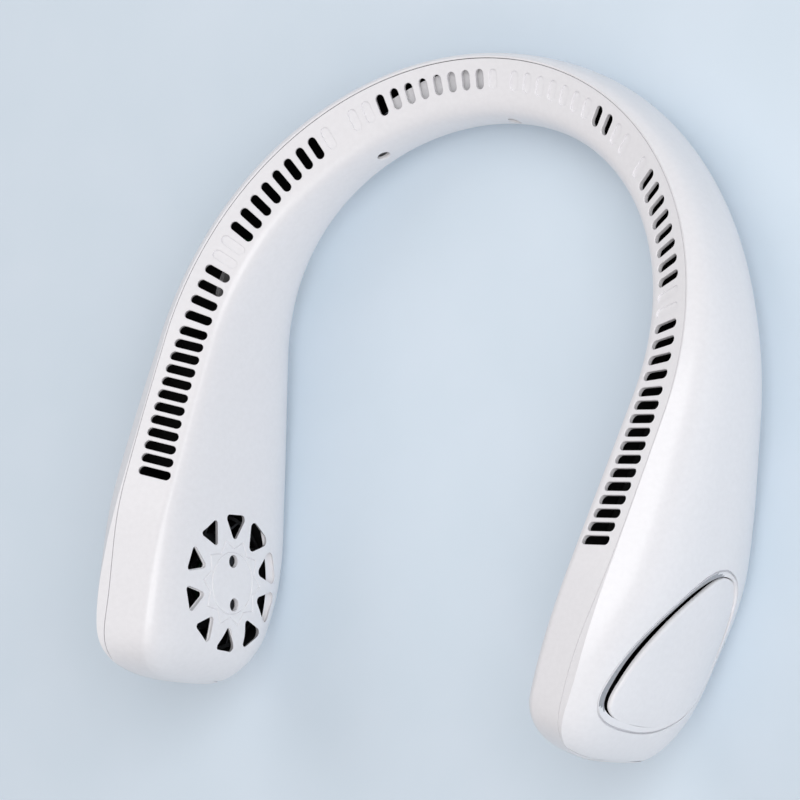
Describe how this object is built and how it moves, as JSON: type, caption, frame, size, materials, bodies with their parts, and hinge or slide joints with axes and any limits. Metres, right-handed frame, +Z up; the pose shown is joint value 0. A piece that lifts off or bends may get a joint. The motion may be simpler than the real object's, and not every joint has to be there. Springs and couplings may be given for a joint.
{
  "type": "neck fan",
  "caption": "Horseshoe neck fan: hollow two-shell collar with air slots along its top, a grille and blower in each end, side intakes and a power button.",
  "frame": {"origin": "on the surface that the fan lies on, under the middle of its bounding box", "axes": "+Z up with the air slots on top, +X towards the right arm, +Y towards the arch at the nape, the open ends at -Y"},
  "size_m": [0.1936, 0.1884, 0.0686],
  "materials": {
    "shell_plastic": "white moulded ABS, satin gloss",
    "inner_plastic": "black moulded ABS, matte",
    "impeller_plastic": "white moulded plastic",
    "clear_plastic": "clear moulded light guide",
    "board": "green solder mask",
    "switch_plastic": "black plastic",
    "socket_steel": "plated steel",
    "core_steel": "pressed and stacked steel",
    "magnet": "ferrite ring",
    "copper": "enamelled copper wire",
    "bush": "sintered bronze",
    "shaft_steel": "ground steel",
    "screw_steel": "zinc-plated steel",
    "cell": "sleeved lithium cell",
    "wire_sleeve": "black sleeve"
  },
  "bodies": {
    "housing": {"arch_screws": "screw_steel", "battery_left": "cell", "battery_right": "cell", "battery_saddles_left": "inner_plastic", "battery_saddles_right": "inner_plastic", "bearing_left": "bush", "bearing_right": "bush", "board_screws": "screw_steel", "duct_floor_left": "inner_plastic", "duct_floor_right": "inner_plastic", "grille_screws_left": "screw_steel", "grille_screws_right": "screw_steel", "inner_shell": "shell_plastic", "intake_cover_left": "shell_plastic", "intake_cover_right": "shell_plastic", "light_guide": "clear_plastic", "main_board": "board", "motor_base_left": "inner_plastic", "motor_base_right": "inner_plastic", "motor_board_left": "board", "motor_board_right": "board", "motor_lead_left": "wire_sleeve", "motor_lead_right": "wire_sleeve", "outer_shell": "shell_plastic", "stator_left": "core_steel", "stator_right": "core_steel", "tact_switch": "switch_plastic", "usb_socket": "socket_steel", "volute_left": "inner_plastic", "volute_right": "inner_plastic", "windings_left": "copper", "windings_right": "copper", "wire_loom": "wire_sleeve"},
    "impeller_right": {"impeller_right": "impeller_plastic", "rotor_cup_right": "core_steel", "magnet_ring_right": "magnet", "shaft_right": "shaft_steel"},
    "impeller_left": {"impeller_left": "impeller_plastic", "rotor_cup_left": "core_steel", "magnet_ring_left": "magnet", "shaft_left": "shaft_steel"},
    "power_button": {"power_button": "shell_plastic"}
  },
  "joints": [
    {"name": "impeller_right_spin", "type": "hinge", "parent": "housing", "child": "impeller_right", "pos_m": [0.06261, -0.06394, 0.0335], "axis": [0.9912, -0.0693, -0.1132], "continuous": true},
    {"name": "impeller_left_spin", "type": "hinge", "parent": "housing", "child": "impeller_left", "pos_m": [-0.06261, -0.06394, 0.0335], "axis": [-0.9912, -0.0693, -0.1132], "continuous": true},
    {"name": "power_button_press", "type": "slide", "parent": "housing", "child": "power_button", "axis": [0.9883, -0.1525, 0], "range_m": [0, 0.0008], "stiffness_N_per_m": 1500, "springref_m": -0.0004}
  ]
}
